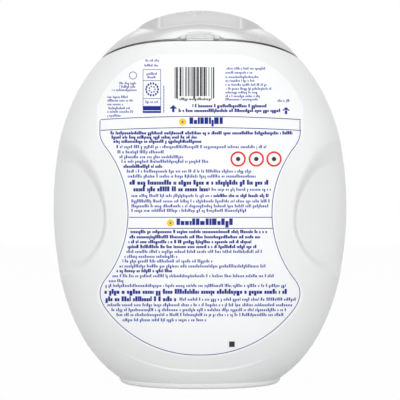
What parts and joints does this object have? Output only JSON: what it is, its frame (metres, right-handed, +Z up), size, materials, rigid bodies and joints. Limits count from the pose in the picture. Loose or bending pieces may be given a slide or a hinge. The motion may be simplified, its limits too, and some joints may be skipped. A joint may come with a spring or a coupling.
{
  "type": "laundry pod tub",
  "caption": "Hollow white plastic tub with waisted thumb scoops, a back label, a push-fit collar and a hinged domed lid held by sprung press tabs",
  "frame": {"origin": "centre of the foot, on the surface that the tub stands on", "axes": "+Z up, -Y towards the label side and the hinge, +Y towards the press tabs, +X to the right of someone who looks at the label"},
  "size_m": [0.2044, 0.1507, 0.258],
  "materials": {
    "tub_plastic": "satin blow-moulded white polyethylene",
    "lid_plastic": "satin injection-moulded white polypropylene",
    "label_film": "printed white film label"
  },
  "bodies": {
    "tub": {"tub_body": "tub_plastic", "collar": "lid_plastic", "back_label": "label_film"},
    "lid": {"lid": "lid_plastic"},
    "latch_left": {"latch_tab_left": "lid_plastic"},
    "latch_right": {"latch_tab_right": "lid_plastic"}
  },
  "joints": [
    {"name": "lid_hinge", "type": "hinge", "parent": "tub", "child": "lid", "pos_m": [0, -0.0533, 0.2349], "axis": [1, 0, 0], "range_deg": [0, 110]},
    {"name": "latch_left_press", "type": "slide", "parent": "tub", "child": "latch_left", "axis": [0.4695, -0.8829, 0], "range_m": [0, 0.002], "stiffness_N_per_m": 800, "springref_m": -0.002},
    {"name": "latch_right_press", "type": "slide", "parent": "tub", "child": "latch_right", "axis": [-0.4695, -0.8829, 0], "range_m": [0, 0.002], "stiffness_N_per_m": 800, "springref_m": -0.002}
  ]
}
